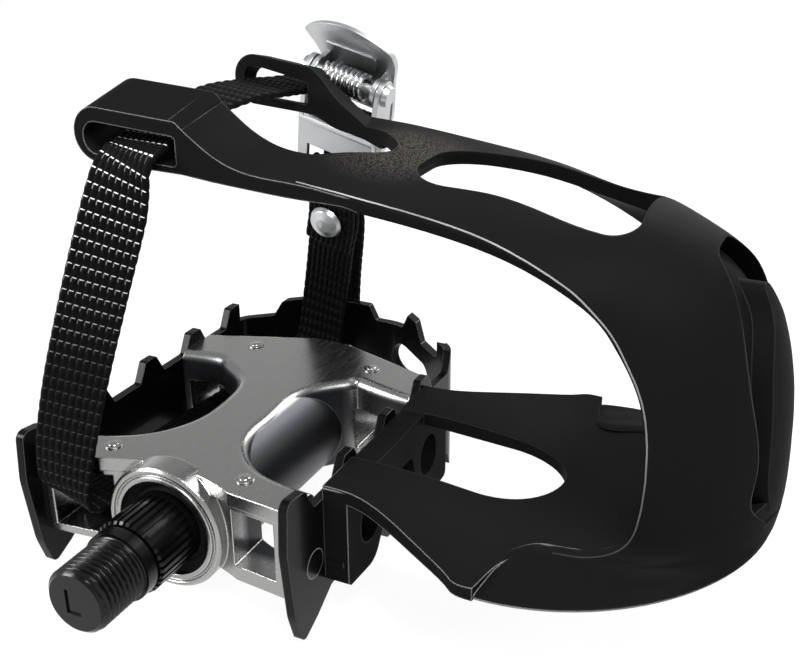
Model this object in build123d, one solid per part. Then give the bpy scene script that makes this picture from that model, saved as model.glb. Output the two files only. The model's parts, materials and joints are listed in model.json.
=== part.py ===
from build123d import *
import math
import os

# Left-hand bicycle pedal with a toe clip, a strap and a cam-lever buckle, in millimetres.
# X points to the toe, Y outboard along the spindle, Z up. The origin is on the spindle
# axis, at the shoulder that seats against the crank arm.

# Spindle and bearings, by radius and by place along Y
thread_radius = 7.1
thread_tip = -12.4
collar_radius = 7.7
collar_end = 3.0
journal_radius = 6.0
journal_end = 40.0
tail_radius = 4.5
tail_start = 58.0
shoulder_y = 75.3
stud_radius = 3.5
spindle_end = 83.0
running_gap = 0.05
sleeve_start = 3.4
sleeve_bore = 6.35
sleeve_radius = 8.3
spline_end = 14.4
spline_count = 32
seat_y = 19.5
bush_start = 24.0
bush_step = 38.0
outer_bush_start = 62.0
outer_bush_end = 75.0

# Cast body
body_top = 12.5
body_bottom = -9.0
body_half_length = 31.1
bar_near = 14.4
top_plate = 3.2
top_overhang = 1.0
rim_rounding = 2.4
ring_face = 15.0
ring_radius = 14.0
mouth_radius = 11.0
barrel_radius = 13.5
barrel_end = 88.5
bore_radius = 8.0
waist_radius = 6.3
outer_bore_radius = 7.0
chamber_radius = 9.0

# Steel cage
steel = 2.0
cage_half_length = 33.1
cage_valley = 11.0
cage_tip = 15.75
tooth_places = (35.6, 54.6, 73.0, 91.0)
cage_split = 93.0

# Toe clip
clip_middle = 48.5
wall = 3.0
edge_rounding = 0.8
recess_depth = 3.4
flange_front = 38.6
bolt_offset = 21.0
bolt_height = -3.6
bolt_radius = 2.45
insert_radius = 3.4
insert_end = 37.4
window_height = 2.0
guide_near = 22.0
guide_depth = 13.0
guide_rise = 3.0

# Strap and buckle
strap_width = 13.0
strap_thickness = 1.8
buckle_pin = Vector(6.6, 88.0, 79.6)
buckle_tilt = math.radians(15.2)
buckle_lean = math.radians(17.5)
sheet = 1.2
ear_inside = 8.8
lever_ear_inside = 7.3
pin_radius = 1.5
rivet_up = -37.6
rivet_along = 0.3

across = Vector(math.cos(buckle_tilt), 0, -math.sin(buckle_tilt))
upward = Vector(
    math.cos(buckle_lean) * math.sin(buckle_tilt),
    -math.sin(buckle_lean),
    math.cos(buckle_lean) * math.cos(buckle_tilt),
)
# Buckle frame of reference: x across the strap, y up along it, z inboard
buckle = Plane(origin=buckle_pin, x_dir=across, z_dir=across.cross(upward))


def turned(*points):
    """Solid of revolution about the spindle from (radius, y) points."""
    return revolve(make_face(Polyline(*points, close=True)), Axis.Y)


def tube(inner, outer, start, end):
    """Plain ring about the spindle."""
    return turned((inner, start), (outer, start), (outer, end), (inner, end))


def block(x_range, y_range, z_range):
    """Box between two corners."""
    size = [high - low for low, high in (x_range, y_range, z_range)]
    middle = [(low + high) / 2 for low, high in (x_range, y_range, z_range)]
    return Pos(*middle) * Box(*size)


def plan(outline, z_range):
    """Closed outline or face in plan, extruded between two heights."""
    low, high = z_range
    face = outline if isinstance(outline, (Face, Sketch)) else make_face(outline)
    return Pos(0, 0, low) * extrude(face, high - low)


def side(outline, x_range):
    """Closed outline in Y and Z, extruded between two places along X."""
    low, high = x_range
    return Pos(low, 0, 0) * extrude(Plane.YZ * make_face(outline), high - low)


def peg(radius, place, direction, length):
    """Cylinder that starts at a place and runs along a direction."""
    plane = Plane(origin=place, z_dir=direction)
    return plane * extrude(Circle(radius), length)


def mirrored(shape):
    """Copy on the other side of the toe clip's middle plane."""
    return mirror(shape, about=Plane((0, clip_middle, 0), z_dir=(0, 1, 0)))


# Spindle group


def spindle():
    return turned(
        (0, thread_tip),
        (thread_radius - 1, thread_tip),
        (thread_radius, thread_tip + 1),
        (thread_radius, 0),
        (collar_radius, 0),
        (collar_radius, collar_end),
        (journal_radius, collar_end),
        (journal_radius, journal_end),
        (tail_radius, tail_start),
        (tail_radius, shoulder_y),
        (stud_radius, shoulder_y),
        (stud_radius, spindle_end - 0.6),
        (stud_radius - 0.6, spindle_end),
        (0, spindle_end),
    )


def thrust_washer():
    return tube(stud_radius + 0.02, 7.5, shoulder_y, shoulder_y + 1.2)


def lock_nut():
    start = shoulder_y + 1.2
    hexagon = RegularPolygon(6.4, 6)
    nut = Plane(origin=(0, start, 0), z_dir=(0, 1, 0)) * extrude(hexagon, 4.3)
    return nut - peg(stud_radius + 0.02, (0, start, 0), (0, 1, 0), 4.3)


# Bearings and seals in the body


def lock_sleeve():
    """Sleeve with tool splines outside, screwed into the mouth of the bore."""
    sleeve = turned(
        (sleeve_bore, sleeve_start),
        (sleeve_radius - 0.5, sleeve_start),
        (sleeve_radius, sleeve_start + 0.5),
        (sleeve_radius, seat_y),
        (bore_radius - 0.02, seat_y),
        (bore_radius - 0.02, bush_start),
        (sleeve_bore, bush_start),
    )
    groove_length = spline_end - sleeve_start
    groove = Pos(sleeve_radius, sleeve_start + groove_length / 2, 0)
    cutter = groove * Box(1.2, groove_length, 0.75)
    turns = [Rot(0, 360 * step / spline_count, 0) for step in range(spline_count)]
    return sleeve - [turn * cutter for turn in turns]


def seal_ring():
    return turned(
        (sleeve_radius + 0.05, 16.4),
        (9.3, 17.2),
        (mouth_radius - 0.02, 16.4),
        (mouth_radius - 0.02, seat_y),
        (sleeve_radius + 0.05, seat_y),
    )


def inboard_bush():
    return tube(journal_radius + running_gap, bore_radius - 0.02, bush_start, bush_step)


def outboard_bush():
    outer = outer_bore_radius - 0.02
    return tube(tail_radius + running_gap, outer, outer_bush_start, outer_bush_end)


def dust_cap():
    return turned(
        (0, barrel_end - 3.5),
        (chamber_radius - 1.6, barrel_end - 3.5),
        (chamber_radius - 1.6, barrel_end - 4.5),
        (chamber_radius - 0.02, barrel_end - 4.5),
        (chamber_radius - 0.02, barrel_end),
        (11.0, barrel_end),
        (11.0, barrel_end + 0.9),
        (9.6, barrel_end + 1.7),
        (0, barrel_end + 2.1),
    )


# Cast body


def scoop_edge(turn):
    """Wall of the opening between an end bar and the barrel, on one side."""
    front = [(31.1, 24.2), (15.0, 28.2), (8.2, 37.6), (7.6, 48.0), (8.6, 62.0), (15.4, 69.8), (31.1, 67.6)]
    rear = [(31.1, 24.0), (15.0, 29.6), (8.4, 40.0), (8.0, 50.0), (11.0, 60.6), (18.6, 66.4), (31.1, 66.6)]
    points = front if turn > 0 else rear
    return Spline(
        [(turn * x, y) for x, y in points],
        tangents=[(-turn, 0.08), (turn, -0.2)],
    )


def near_edge(inset):
    """Inboard edge of the body seen from above, from front to rear."""
    length = body_half_length
    corner = (16.0, 16.0 + inset)
    return [
        Line((length, bar_near + inset), corner),
        ThreePointArc(corner, (0, 19.5 + inset), (-16.0, 16.0 + inset)),
        Line((-16.0, 16.0 + inset), (-length, bar_near + inset)),
    ]


def body_plan():
    """Two end bars joined by the waisted barrel, seen from above."""
    length = body_half_length
    far = [
        Polyline((-length, 66.6), (-length, 78.6), (-6.0, 88.0)),
        ThreePointArc((-6.0, 88.0), (0, 88.5), (6.0, 88.0)),
        Polyline((6.0, 88.0), (length, 79.6), (length, 67.6)),
    ]
    sides = [Line((length, 24.2), (length, bar_near)), Line((-length, 24.0), (-length, bar_near))]
    return Curve() + sides + near_edge(0) + scoop_edge(-1) + far + scoop_edge(1)


def overhang():
    """What is cut from the inboard wall below the top plate, so that the plate stands proud."""
    length = body_half_length
    front = Line((length, bar_near + top_overhang), (length, 10.0))
    rear = Line((-length, 10.0), (-length, bar_near + top_overhang))
    closing = Line((length, 10.0), (-length, 10.0))
    outline = Curve() + near_edge(top_overhang) + [front, rear, closing]
    return plan(outline, (body_bottom - 1, body_top - top_plate))


def bar_windows():
    """Openings through the end bars; the strap runs through the rear pair."""
    windows = []
    for y_range, top in (((8.0, 32.0), 7.8), ((60.0, 92.0), 5.0)):
        windows.append(block((15.8, 26.4), y_range, (-5.6, top)))
        windows.append(block((-29.6, -14.3), y_range, (-7.2, top)))
    return windows


def bolt_pockets():
    """Room in the front of the end bars for the heads of the toe clip bolts."""
    return [block((26.6, 32.0), y_range, (-10.0, 1.6)) for y_range in ((22.4, 33.0), (64.0, 74.6))]


def pedal_body():
    bars = plan(body_plan(), (body_bottom, body_top))
    rims = bars.edges().filter_by(GeomType.BSPLINE)
    bars = fillet([rim for rim in rims if rim.center().Z > body_top - 0.1], rim_rounding)
    barrel = tube(0, barrel_radius, ring_face + 2, barrel_end)
    barrel &= block((-20, 20), (0, 100), (-20, body_top))
    ring = turned(
        (0, ring_face),
        (11.9, ring_face),
        (12.2, ring_face + 0.6),
        (12.5, ring_face + 0.6),
        (12.8, ring_face),
        (ring_radius - 0.6, ring_face),
        (ring_radius, ring_face + 0.6),
        (ring_radius, ring_face + 6),
        (0, ring_face + 6),
    )
    body = bars - overhang() - bar_windows() - bolt_pockets() + barrel + ring
    bore = turned(
        (0, ring_face - 1),
        (mouth_radius, ring_face - 1),
        (mouth_radius, seat_y),
        (bore_radius, seat_y),
        (bore_radius, bush_step),
        (waist_radius, bush_step),
        (waist_radius, outer_bush_start),
        (outer_bore_radius, outer_bush_start),
        (outer_bore_radius, outer_bush_end),
        (chamber_radius, outer_bush_end),
        (chamber_radius, barrel_end + 1),
        (0, barrel_end + 1),
    )
    holes = [peg(1.5, place, toward, 4.2) for place, toward in screw_places(body_half_length)]
    return body - bore - holes


# Steel cage


def screw_places(x):
    """Where the cage is screwed to the end bars: a point and the way in."""
    front = [((x, y, z), (-1, 0, 0)) for y, z in ((20.2, -2.0), (77.2, 7.2))]
    rear = [((-x, y, z), (1, 0, 0)) for y, z in ((16.5, 9.6), (77.2, 7.2))]
    return front + rear


def tooth(centre, turn):
    """Four points of one tooth above the valley line."""
    base, tip = turn * cage_valley, turn * cage_tip
    return [(centre - 4.6, base), (centre - 2.0, tip), (centre + 2.0, tip), (centre + 4.6, base)]


def plate_outline():
    """Front and rear plates seen from the toe: wing, teeth and valleys."""
    top = [point for place in tooth_places for point in tooth(place, 1)][:-2]
    bottom = [point for place in tooth_places for point in tooth(place, -1)][:-2]
    wing_top = [(10.9, 17.2), (17.6, 16.4), (20.6, cage_valley)]
    wing_bottom = [(26.5, -cage_valley), (20.4, -14.8), (14.4, -17.6), (11.9, -10.0), (10.0, 6.0)]
    end = [(cage_split + 1, cage_tip), (cage_split + 1, -cage_tip)]
    points = wing_top + top + end + bottom[::-1] + wing_bottom
    soft = dict(zip(wing_top + wing_bottom, (2.0, 2.5, 1.6, 2.0, 5.0, 1.6, 12.0, 12.0)))
    hard = {end[0], end[1]}
    radii = [0 if point in hard else soft.get(point, 0.8) for point in points]
    return FilletPolyline(points, radius=radii, close=True)


def end_outline():
    """Outboard end of the cage seen along Y: strap tab and teeth."""
    edge = cage_half_length + 1
    tab = [(-24.5, cage_valley), (-22.5, 15.0), (0.5, 15.0), (2.5, cage_valley)]
    corner = [(26.5, cage_valley), (29.5, cage_tip), (edge, cage_tip)]
    top = tab + tooth(15.5, 1) + corner
    bottom = [(edge, -cage_tip), (29.5, -cage_tip), (26.5, -cage_valley)] + tooth(15.5, -1)[::-1]
    points = [(-edge, -cage_valley), (-edge, cage_valley)] + top + bottom
    sharp = {points[0], points[1], (edge, cage_tip), (edge, -cage_tip)}
    radii = [0 if point in sharp else 0.8 for point in points]
    return Plane.XZ * FilletPolyline(points, radius=radii, close=True)


def cage_plan():
    """Outer face of the band seen from above, rear plate to front plate."""
    half = cage_half_length
    points = [
        (-half, 0), (-half, 95.3), (-14.5, 110.6), (10.5, 110.6), (half, 90.5), (half, 0),
    ]
    return make_face(FilletPolyline(points, radius=[0, 8, 12, 12, 8, 0], close=True))


def clip_holes(x_range, radius):
    """Round holes for the two toe clip bolts."""
    low, high = x_range
    return [peg(radius, place, (1, 0, 0), high - low) for place in bolt_places(low)]


def clip_windows(x_range):
    """Oval openings beside the toe clip bolts."""
    low, high = x_range
    places = [clip_middle + turn * 14.5 for turn in (-1, 1)]
    oval = Plane.YZ * SlotOverall(10.0, 8.6, rotation=90)
    return [Pos(low, y, window_height) * extrude(oval, high - low) for y in places]


def chamfer_window():
    """Oval opening round the front outboard corner of the band."""
    plane = Plane(origin=(16.5, 104.5, 2.0), x_dir=(0.83, -0.55, 0), z_dir=(0.55, 0.83, 0))
    return plane * extrude(SlotOverall(20.0, 8.0), 8, both=True)


def wing_slots():
    """Upright slot beside the wing of the rear plate."""
    slot = Plane.YZ * SlotOverall(11.5, 4.0, rotation=90)
    return Pos(-40, 21.2, -5.5) * extrude(slot, 20)


def cage():
    outside = cage_plan()
    band = extrude(outside - offset(outside, -steel), 22, both=True)
    plates = side(plate_outline(), (-40, 40)) & block((-50, 50), (0, cage_split), (-30, 30))
    end = extrude(make_face(end_outline()), 130, dir=(0, 1, 0))
    end &= block((-50, 50), (cage_split, 120), (-30, 30))
    band = band & (plates + end)
    front = (cage_half_length - 6, cage_half_length + 4)
    band -= clip_holes(front, 2.7) + clip_windows(front) + [chamfer_window(), wing_slots()]
    for place, inward in screw_places(cage_half_length):
        band -= countersunk(place, inward, 0.05)
    return band


def countersunk(place, inward, gap):
    """Flat-headed screw that starts flush with the band's outer face."""
    plane = Plane(origin=place, z_dir=inward)
    points = [(0, 0), (3.2 + gap, 0), (1.45 + gap, 1.8), (1.45 + gap, 6.0), (0, 6.0)]
    profile = Plane.XZ * make_face(Polyline(*points, close=True))
    return plane * revolve(profile, Axis.Z)


def cage_screws():
    return [countersunk(place, inward, 0) for place, inward in screw_places(cage_half_length)]


# Toe clip

# Side view of the toe clip's skin, from the strap guides over the toe and down to the lip:
# the crest at the middle plane as (x, z) and the near edge as (x, y, z)
skin_stations = (
    ((20.0, 77.8), (20.0, 24.0, 75.9)),
    ((30.0, 77.0), (30.0, 24.0, 75.2)),
    ((42.0, 75.6), (42.0, 24.0, 73.8)),
    ((54.0, 75.0), (53.0, 24.0, 72.3)),
    ((70.0, 74.0), (67.4, 24.0, 69.1)),
    ((85.0, 72.2), (80.6, 24.0, 63.0)),
    ((96.5, 69.0), (87.4, 24.0, 57.0)),
    ((105.5, 63.6), (91.2, 24.0, 51.0)),
    ((111.0, 56.0), (93.9, 24.0, 45.0)),
    ((114.6, 45.0), (95.2, 24.0, 38.0)),
    ((116.0, 35.0), (95.5, 24.0, 31.0)),
    ((116.4, 28.0), (95.2, 24.2, 25.2)),
    ((116.5, 24.7), (94.5, 24.3, 20.5)),
    ((116.5, 21.8), (92.8, 24.0, 17.0)),
    ((116.4, 19.6), (89.6, 23.0, 15.0)),
    ((116.3, 18.2), (85.5, 22.0, 14.2)),
    ((116.2, 17.2), (80.7, 22.2, 13.5)),
    ((116.1, 16.5), (76.9, 22.6, 13.0)),
    ((116.0, 15.8), (74.3, 21.6, 12.5)),
    ((115.9, 15.2), (72.4, 19.4, 12.0)),
    ((115.8, 14.6), (71.5, 15.6, 11.4)),
    ((115.6, 14.0), (71.1, 12.2, 10.8)),
    ((115.4, 13.3), (71.4, 8.3, 10.0)),
)


def skin_arc(crest, edge, depth):
    """Arc across the toe clip at a depth below its outer face, with its centre."""
    top = Vector(crest[0], clip_middle, crest[1])
    near = Vector(*edge)
    chord = Vector(edge[0], clip_middle, edge[2])
    sag = (chord - top).length
    radius = ((clip_middle - edge[1]) ** 2 + sag**2) / (2 * sag)
    inward = (chord - top).normalized()
    centre = top + inward * radius
    start = centre + (near - centre) * ((radius - depth) / radius)
    end = Vector(start.X, 2 * clip_middle - start.Y, start.Z)
    return ThreePointArc(start, top + inward * depth, end)


def skin_section(crest, edge, outside, inside, rounding):
    """Slice of the skin between two depths, with rounded ends."""
    outer = skin_arc(crest, edge, outside)
    inner = skin_arc(crest, edge, inside)
    ends = [Line(outer @ place, inner @ place) for place in (0, 1)]
    face = make_face([outer, ends[1], inner, ends[0]])
    return fillet(face.vertices(), rounding) if rounding else face


def skin(outside, inside, rounding, stations):
    return loft([skin_section(*pair, outside, inside, rounding) for pair in stations])


def toe_filling(stations):
    """Solid inside the lower skin, that bounds the floor."""
    sections = []
    for crest, edge in stations:
        arc = skin_arc(crest, edge, 0.4)
        sections.append(make_face([arc, Line(arc @ 1, arc @ 0)]))
    return loft(sections)


def floor_profile():
    """Side view of the floor: level at the flange, lower at the tips, rising to the toe."""
    top = Spline([(33.1, 14.0), (42.0, 14.0), (57.0, 13.0), (73.0, 12.1), (82.0, 13.4), (92.0, 15.4),
                  (104.0, 18.6), (116.0, 24.0)], tangents=[(1, 0), (1, 0.7)])
    bottom = Polyline(top @ 1, (118.0, 8.0), (73.0, 9.2), (42.0, 11.0), (33.1, 11.0), top @ 0)
    profile = make_face(Plane.XZ * (Curve() + [top, bottom]))
    return extrude(profile, 100, dir=(0, 1, 0))


def floor_plate():
    """Two arms that spread from the flange to the toe, with a round-ended gap."""
    arm_edge = Spline(
        [(33.1, 24.2), (39.0, 23.9), (48.0, 20.5), (59.0, 14.2), (66.0, 9.8), (71.3, 8.5)],
        tangents=[(1, 0), (1, 0.1)],
    )
    tip = Spline([(71.3, 8.5), (72.0, 13.0), (73.4, 18.0), (77.4, 21.8)])
    far = [mirrored(arm_edge), mirrored(tip)]
    front = Line(tip @ 1, far[1] @ 1)
    back = Line(arm_edge @ 0, far[0] @ 0)
    arms = plan([arm_edge, tip, front, far[1], far[0], back], (0, 30))
    gap_half = 11.8
    gap_end = EllipticalCenterArc((60.0, clip_middle), 15.0, gap_half, -90, arc_size=180)
    gap_sides = [Line((20.0, clip_middle + turn * gap_half), (60.0, clip_middle + turn * gap_half))
                 for turn in (-1, 1)]
    gap_back = Line(gap_sides[0] @ 0, gap_sides[1] @ 0)
    gap = plan([gap_sides[0], gap_end, gap_sides[1], gap_back], (0, 30))
    return (arms + toe_filling(skin_stations[-11:])) & floor_profile() - gap


def flange():
    """Upright plate that bolts to the front of the cage, with two rounded lobes."""
    half = [(24.5, 13.5), (24.5, -8.6), (12.6, -9.2), (8.4, -2.5), (6.0, 6.0)]
    points = [(clip_middle + y, z) for y, z in half]
    points += [(clip_middle - y, z) for y, z in half[::-1]]
    radii = [0, 1.5, 5, 5, 2, 2, 5, 5, 1.5, 0]
    outline = FilletPolyline(points, radius=radii, close=True)
    return side(outline, (cage_half_length, flange_front))


def along_guide(points, radii, start, end):
    """Rounded side view of a strap guide, extruded along its rising direction."""
    face = make_face(Plane.XZ * FilletPolyline(points, radius=radii, close=True))
    step = Vector(0, guide_depth, guide_rise)
    placed = Pos(0, guide_near, 0) * Pos(*(step * start)) * face
    return extrude(placed, step.length * (end - start), dir=step)


# Arms that carry the strap guides, from the guide down into the skin: place along X, then the
# outer and the inner edge, each as (y, top, bottom)
near_arm = (
    (5.0, (22.0, 84.3, 74.6), (35.0, 87.3, 77.6)),
    (8.5, (22.0, 82.5, 74.4), (35.4, 84.9, 76.6)),
    (12.5, (22.0, 79.7, 74.0), (36.2, 81.2, 75.4)),
    (17.5, (22.1, 77.2, 73.6), (37.0, 78.2, 74.4)),
    (24.0, (22.6, 75.8, 73.0), (38.6, 76.7, 73.6)),
    (33.0, (23.6, 74.9, 72.3), (40.0, 75.6, 72.8)),
    (42.0, (24.4, 73.6, 71.2), (42.0, 74.6, 71.8)),
)
far_arm = (
    (10.0, (69.5, 85.0, 76.2), (64.5, 86.8, 77.2)),
    (12.6, (69.6, 83.4, 75.5), (64.5, 85.3, 76.3)),
    (15.0, (70.6, 80.9, 74.7), (64.4, 82.6, 75.1)),
    (18.0, (71.6, 77.8, 73.9), (64.0, 80.0, 74.3)),
    (23.0, (72.3, 75.2, 73.2), (62.0, 77.2, 73.6)),
    (30.0, (72.0, 74.2, 72.6), (60.0, 75.6, 73.0)),
)


def guide_arm(stations):
    faces = []
    for x, outer, inner in stations:
        corners = [(outer[0], outer[2]), (inner[0], inner[2]), (inner[0], inner[1]), (outer[0], outer[1])]
        faces.append(make_face(Polyline(*[(x, y, z) for y, z in corners], close=True)))
    return loft(faces)


def strap_guide():
    """Round-ended block at the end of the near arm."""
    points = [(-16.9, 85.6), (6.4, 84.2), (8.0, 82.9), (8.0, 74.5), (-16.9, 74.9)]
    return along_guide(points, [5.2, 0.6, 0.6, 0, 5.2], 0, 1)


def guide_opening():
    """Way for the strap through the near guide."""
    points = [(-14.8, 82.7), (6.2, 81.4), (6.2, 75.8), (-14.8, 76.4)]
    return along_guide(points, [3.0, 0.8, 0.8, 3.0], -0.2, 1.2)


def far_guide():
    """Narrow loop at the end of the far arm."""
    points = [(-8.3, 87.0), (10.4, 84.6), (12.2, 83.2), (12.2, 74.6), (-8.3, 76.0)]
    return mirrored(along_guide(points, [5.0, 0.6, 0.6, 0, 5.0], 0.42, 0.81))


def far_opening():
    """Way for the strap through the far loop."""
    points = [(-6.2, 84.5), (9.6, 81.5), (9.6, 76.6), (-6.2, 77.8)]
    return mirrored(along_guide(points, [2.8, 0.8, 0.8, 2.8], 0.2, 1.1))


def eye_hole():
    """Opening between the two arms that carry the strap guides."""
    near = Spline([(-2.0, 36.0), (12.0, 36.6), (26.0, 38.4), (33.0, 42.2), (37.5, clip_middle)],
                  tangents=[(1, 0), (0, 1)])
    far = Spline([(-2.0, 64.5), (12.0, 64.5), (20.0, 63.7), (28.0, 60.8), (34.0, 55.4), (37.5, clip_middle)],
                 tangents=[(1, 0), (0, -1)])
    back = Line(near @ 0, far @ 0)
    return plan([near, far, back], (60, 95))


def top_slot():
    """Vent over the toe, wider on the inside than on the outside."""
    points = [(44.8, -12.6), (87.0, -11.8), (87.0, 11.8), (44.8, 12.6)]
    outline = FilletPolyline([(x, clip_middle + y) for x, y in points], radius=[9, 4.5, 4.5, 9], close=True)
    return Pos(0, 0, 74) * (extrude(make_face(outline), -15, taper=-20) + extrude(make_face(outline), 15))


# Outline of the hollow down the front of the toe and of the raised panel inside it, as (y, z)
hollow_points = [(48.5, 67.0), (43.2, 66.1), (39.1, 62.0), (36.4, 57.0), (34.6, 49.0), (34.7, 42.0),
                 (35.4, 29.6), (36.0, 22.4), (39.2, 18.0), (48.5, 17.2)]
panel_points = [(48.5, 60.6), (45.6, 57.4), (41.8, 51.3), (39.2, 43.5), (38.6, 36.0), (38.8, 27.0),
                (40.6, 21.0), (48.5, 19.6)]


def front_prism(points, start):
    """Mirrored outline in Y and Z, extruded through the front of the toe."""
    near = Spline(points, tangents=[(-1, 0), (1, 0)])
    outline = make_face([Plane.YZ * near, mirrored(Plane.YZ * near)])
    return Pos(start, 0, 0) * extrude(outline, 30, dir=(1, 0, 0))


def front_backing():
    """Thicker skin behind the hollow."""
    inside = skin(wall - 0.4, recess_depth + 2.4, 0, skin_stations[5:16])
    return inside & block((92, 125), (32.0, 65.0), (16.5, 69.0))


def front_recess():
    """Groove round the raised panel on the front of the toe."""
    groove = front_prism(hollow_points, 92) - front_prism(panel_points, 90)
    return groove & skin(-1.0, recess_depth, 0, skin_stations[5:16])


def toe_clip():
    clip = skin(0, wall, edge_rounding, skin_stations)
    clip = clip + guide_arm(near_arm) + guide_arm(far_arm) - eye_hole()
    clip = clip + strap_guide() + far_guide() - guide_opening() - far_opening()
    clip = clip - top_slot() + front_backing() - front_recess() + floor_plate() + flange()
    through = (cage_half_length - 2, flange_front + 2)
    blind = (cage_half_length - 2, insert_end)
    return clip - clip_windows(through) - clip_holes(blind, insert_radius + 0.02)


def bolt_places(x):
    return [(x, clip_middle + turn * bolt_offset, bolt_height) for turn in (-1, 1)]


def toe_clip_inserts():
    """Threaded brass bushes moulded into the flange."""
    length = insert_end - cage_half_length
    rings = []
    for place in bolt_places(cage_half_length):
        outside = peg(insert_radius, place, (1, 0, 0), length)
        rings.append(outside - peg(bolt_radius + 0.02, place, (1, 0, 0), length))
    return rings


def toe_clip_washers():
    rings = []
    for place in bolt_places(cage_half_length - steel):
        rings.append(peg(4.4, place, (-1, 0, 0), 1.0) - peg(2.7, place, (-1, 0, 0), 1.0))
    return rings


def toe_clip_bolts():
    """Socket-headed bolts that enter from the inside of the cage."""
    seat = cage_half_length - steel - 1.0
    shank = insert_end - seat - 0.4
    bolts = []
    for place in bolt_places(seat):
        plane = Plane(origin=place, z_dir=(-1, 0, 0))
        points = [(0, -shank), (bolt_radius, -shank), (bolt_radius, 0), (4.2, 0), (4.2, 1.0),
                  (2.6, 2.6), (0, 2.6)]
        head = revolve(Plane.XZ * make_face(Polyline(*points, close=True)), Axis.Z)
        socket = Pos(0, 0, 1.0) * extrude(RegularPolygon(1.75, 6), 3)
        bolts.append(plane * (head - socket))
    return bolts


# Buckle, modelled in its own frame: x across the strap, y up along it, z inboard


def buckle_frame():
    """Inboard plate with a rolled top edge, two ears and a slot for the folded strap."""
    half = ear_inside + sheet
    plate = block((-half, half), (-25.6, -11.6), (3.4, 3.4 + sheet))
    plate -= block((-7.4, 7.4), (-23.3, -18.0), (0, 10))
    rolled_edge = Pos(-half, -11.4, 3.6) * Rot(0, 90, 0) * extrude(Circle(1.2), 2 * half)
    lug = Plane.YZ * make_face(Polyline((-20, 3.6), (-11, 4.6), (0, 3.4), (0, -3.4), (-14, -3.0),
                                        (-20, 1.0), close=True))
    ear = extrude(lug, sheet) + Rot(0, 90, 0) * extrude(Circle(3.4), sheet)
    ears = [Pos(ear_inside, 0, 0) * ear, Pos(-half, 0, 0) * ear]
    frame = plate + rolled_edge + ears
    through = Pos(-half - 1, 0, 0) * Rot(0, 90, 0)
    frame -= through * extrude(Circle(pin_radius + 0.03), 2 * half + 2)
    frame -= Pos(0, -13.6, 0.4) * through * extrude(Circle(1.2 + 0.03), 2 * half + 2)
    return buckle * frame


def lever_pin():
    half = ear_inside + sheet
    points = [(0, -half - 1.3), (2.3, -half - 1.3), (2.6, -half), (pin_radius, -half),
              (pin_radius, half), (2.6, half), (2.3, half + 1.3), (0, half + 1.3)]
    return buckle * (Rot(0, 0, -90) * turned(*points))


def lever_spring():
    """Close-wound torsion spring on the lever pin."""
    coils = 8
    wire = 1.5
    inner = pin_radius + 0.35
    start = -coils * wire / 2
    ridge = []
    for coil in range(coils):
        low = start + coil * wire
        ridge += [(inner + 1.0, low), (inner + 1.5, low + 0.25 * wire),
                  (inner + 1.5, low + 0.75 * wire)]
    points = [(inner, start)] + ridge + [(inner + 1.0, -start), (inner, -start)]
    return buckle * (Rot(0, 0, -90) * turned(*points))


def lever_side(inboard, outboard):
    """Side view of part of the lever plate, as (up, inboard) points of its two faces."""
    faces = [Spline(inboard), Spline(outboard)]
    ends = [Line(faces[0] @ 1, faces[1] @ 0), Line(faces[1] @ 1, faces[0] @ 0)]
    return Plane.YZ * make_face(faces + ends)


def lever_front():
    """Lever plate seen from the foot: arched thumb end, narrower waist, two lower flanks."""
    top = ThreePointArc((-12.8, 8.6), (-1.2, 14.4), (10.4, 10.2))
    right = Spline([(10.4, 10.2), (10.3, 6.0), (9.4, 1.0), (9.6, -4.0), (10.0, -9.4)])
    bottom = Line((10.0, -9.4), (-10.2, -9.4))
    left = Spline([(-10.2, -9.4), (-9.8, -4.0), (-10.2, 1.0), (-12.0, 5.0), (-12.8, 8.6)])
    face = make_face([top, right, bottom, left])
    upper = [corner for corner in face.vertices() if corner.Y > 0]
    face = fillet(upper, 2.2)
    return face - Rectangle(14.2, 16.8, align=(Align.CENTER, Align.MAX)).moved(Pos(0, -1.0, 0))


def buckle_lever():
    half = lever_ear_inside + sheet
    thumb = lever_side(
        [(-9.8, -4.2), (-4.0, -4.9), (0, -4.9), (4.0, -3.9), (8.0, -1.6), (11.2, 0.3), (14.8, 1.9)],
        [(15.3, 0.8), (11.8, -0.75), (8.6, -2.65), (4.4, -5.05), (0, -6.1), (-4.0, -6.1), (-9.8, -5.4)],
    )
    plate = extrude(thumb, 14, both=True) & plan(lever_front(), (-12, 6))
    panel = make_face(FilletPolyline([(-8.2, 6.4), (5.6, 7.0), (4.4, 1.8), (-6.8, 1.6)],
                                     radius=0.8, close=True))
    plate += Pos(0, 0, 0.5) * extrude(thumb, 14, both=True) & plan(panel, (-12, 6))
    cam = lever_side(
        [(2.0, -4.6), (-2.6, -4.6), (-6.6, -2.6)],
        [(-7.3, -3.4), (-3.6, -5.8), (2.0, -5.9)],
    )
    plate += extrude(cam, 7.0, both=True)
    arm = Plane.YZ * make_face(Polyline((-5.0, -5.4), (-2.4, 2.4), (2.4, 2.4), (3.0, -5.2),
                                        close=True))
    ear = extrude(arm, sheet) + Rot(0, 90, 0) * extrude(Circle(3.2), sheet)
    lever = plate + [Pos(lever_ear_inside, 0, 0) * ear, Pos(-half, 0, 0) * ear]
    bore = Pos(-half - 1, 0, 0) * Rot(0, 90, 0) * extrude(Circle(pin_radius + 0.05), 2 * half + 2)
    return buckle * (lever - bore)


def roller_pin():
    half = ear_inside + sheet
    points = [(0, -half - 1.4), (1.5, -half - 1.2), (2.3, -half), (1.2, -half),
              (1.2, half), (2.3, half), (1.5, half + 1.2), (0, half + 1.4)]
    return buckle * (Pos(0, -13.6, 0.4) * Rot(0, 0, -90) * turned(*points))


def buckle_roller():
    half = ear_inside - 0.3
    return buckle * (Pos(0, -13.6, 0.4) * Rot(0, 0, -90) * tube(1.25, 2.2, -half, half))


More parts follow.
